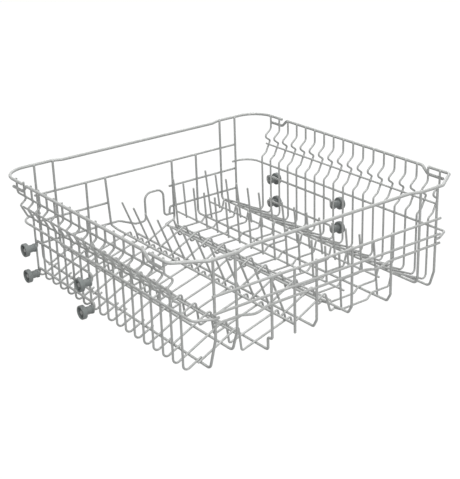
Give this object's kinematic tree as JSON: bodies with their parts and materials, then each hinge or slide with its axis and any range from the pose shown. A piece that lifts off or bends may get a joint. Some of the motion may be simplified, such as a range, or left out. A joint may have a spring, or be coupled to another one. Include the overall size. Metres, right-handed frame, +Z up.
{
  "type": "dishwasher basket",
  "caption": "Open upper rack of grey coated wire with sloped ridged floor, tine rows, ribbed side walls and side rollers, for holding cups and dishes in a dishwasher.",
  "frame": {"origin": "on the standing plane, under the middle of the basket", "axes": "+X to the basket's right, +Y to its back, +Z up"},
  "size_m": [0.535, 0.519, 0.1792],
  "materials": {
    "coated_wire": "satin grey polymer coat on drawn steel wire",
    "roller_plastic": "moulded matte"
  },
  "bodies": {
    "basket": {"back_arch_wire": "coated_wire", "back_hooked_rail": "coated_wire", "back_rail_left": "coated_wire", "back_rail_right": "coated_wire", "back_rail_upper": "coated_wire", "belt_wire_left": "coated_wire", "belt_wire_right": "coated_wire", "floor_edge_wire_front": "coated_wire", "floor_edge_wires_back": "coated_wire", "floor_wires": "coated_wire", "front_post": "coated_wire", "front_rail_lower": "coated_wire", "front_rail_middle": "coated_wire", "front_rail_upper": "coated_wire", "hoop_wire_1": "coated_wire", "hoop_wire_2": "coated_wire", "hoop_wire_3": "coated_wire", "hoop_wire_4": "coated_wire", "hoop_wire_5": "coated_wire", "hoop_wire_6": "coated_wire", "long_wire_1": "coated_wire", "long_wire_2": "coated_wire", "long_wire_3": "coated_wire", "long_wire_4": "coated_wire", "long_wire_5": "coated_wire", "long_wire_6": "coated_wire", "long_wire_7": "coated_wire", "long_wire_8": "coated_wire", "long_wire_9": "coated_wire", "mid_tine_rail": "coated_wire", "mid_tines": "coated_wire", "ridge_wire_left": "coated_wire", "ridge_wire_middle": "coated_wire", "ridge_wire_side": "coated_wire", "right_tine_rail": "coated_wire", "right_tines": "coated_wire", "rim_back": "coated_wire", "rim_front": "coated_wire", "rim_left": "coated_wire", "rim_right": "coated_wire", "roller_carrier_left_lower": "coated_wire", "roller_carrier_left_upper": "coated_wire", "roller_carrier_right_lower": "coated_wire", "roller_carrier_right_upper": "coated_wire", "shelf_wire_left": "coated_wire", "shelf_wire_right": "coated_wire", "side_ribs_left": "coated_wire", "side_ribs_right": "coated_wire", "slanted_tines": "coated_wire"},
    "roller_left_back_lower": {"roller_left_back_lower": "roller_plastic"},
    "roller_left_back_upper": {"roller_left_back_upper": "roller_plastic"},
    "roller_left_front_lower": {"roller_left_front_lower": "roller_plastic"},
    "roller_left_front_upper": {"roller_left_front_upper": "roller_plastic"},
    "roller_right_back_lower": {"roller_right_back_lower": "roller_plastic"},
    "roller_right_back_upper": {"roller_right_back_upper": "roller_plastic"},
    "roller_right_front_lower": {"roller_right_front_lower": "roller_plastic"},
    "roller_right_front_upper": {"roller_right_front_upper": "roller_plastic"}
  },
  "joints": [
    {"name": "roller_left_back_lower_spin", "type": "hinge", "parent": "basket", "child": "roller_left_back_lower", "pos_m": [-0.25665, 0.2, 0.0116], "axis": [1, 0, 0], "continuous": true},
    {"name": "roller_left_back_upper_spin", "type": "hinge", "parent": "basket", "child": "roller_left_back_upper", "pos_m": [-0.25665, 0.2, 0.0577], "axis": [1, 0, 0], "continuous": true},
    {"name": "roller_left_front_lower_spin", "type": "hinge", "parent": "basket", "child": "roller_left_front_lower", "pos_m": [-0.25665, 0.023, 0.0116], "axis": [1, 0, 0], "continuous": true},
    {"name": "roller_left_front_upper_spin", "type": "hinge", "parent": "basket", "child": "roller_left_front_upper", "pos_m": [-0.25665, 0.023, 0.0577], "axis": [1, 0, 0], "continuous": true},
    {"name": "roller_right_back_lower_spin", "type": "hinge", "parent": "basket", "child": "roller_right_back_lower", "pos_m": [0.25665, 0.2, 0.0116], "axis": [1, 0, 0], "continuous": true},
    {"name": "roller_right_back_upper_spin", "type": "hinge", "parent": "basket", "child": "roller_right_back_upper", "pos_m": [0.25665, 0.2, 0.0577], "axis": [1, 0, 0], "continuous": true},
    {"name": "roller_right_front_lower_spin", "type": "hinge", "parent": "basket", "child": "roller_right_front_lower", "pos_m": [0.25665, 0.023, 0.0116], "axis": [1, 0, 0], "continuous": true},
    {"name": "roller_right_front_upper_spin", "type": "hinge", "parent": "basket", "child": "roller_right_front_upper", "pos_m": [0.25665, 0.023, 0.0577], "axis": [1, 0, 0], "continuous": true}
  ]
}
